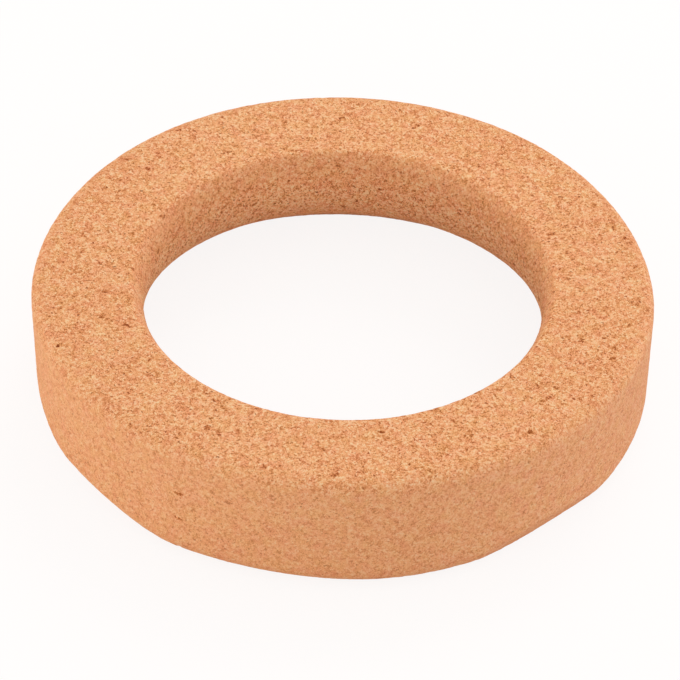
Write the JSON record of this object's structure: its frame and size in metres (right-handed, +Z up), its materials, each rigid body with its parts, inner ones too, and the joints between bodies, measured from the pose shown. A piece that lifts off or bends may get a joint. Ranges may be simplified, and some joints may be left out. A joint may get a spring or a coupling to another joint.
{
  "type": "cork ring",
  "caption": "Round one-piece cork ring whose hole narrows to a short throat, with a small mouth above it and a wide flared seat below, for standing a round-bottomed flask.",
  "frame": {"origin": "centre of the base, on the axis of the hole", "axes": "+Z up along the axis of the hole, from the base with the wide seat to the top face with the small mouth; the larger worn flat is between +X and -Y"},
  "size_m": [0.14, 0.14, 0.03],
  "materials": {
    "cork": "fine agglomerated cork, turned and sanded, matt"
  },
  "bodies": {
    "root": {"cork_ring": "cork"}
  },
  "joints": []
}
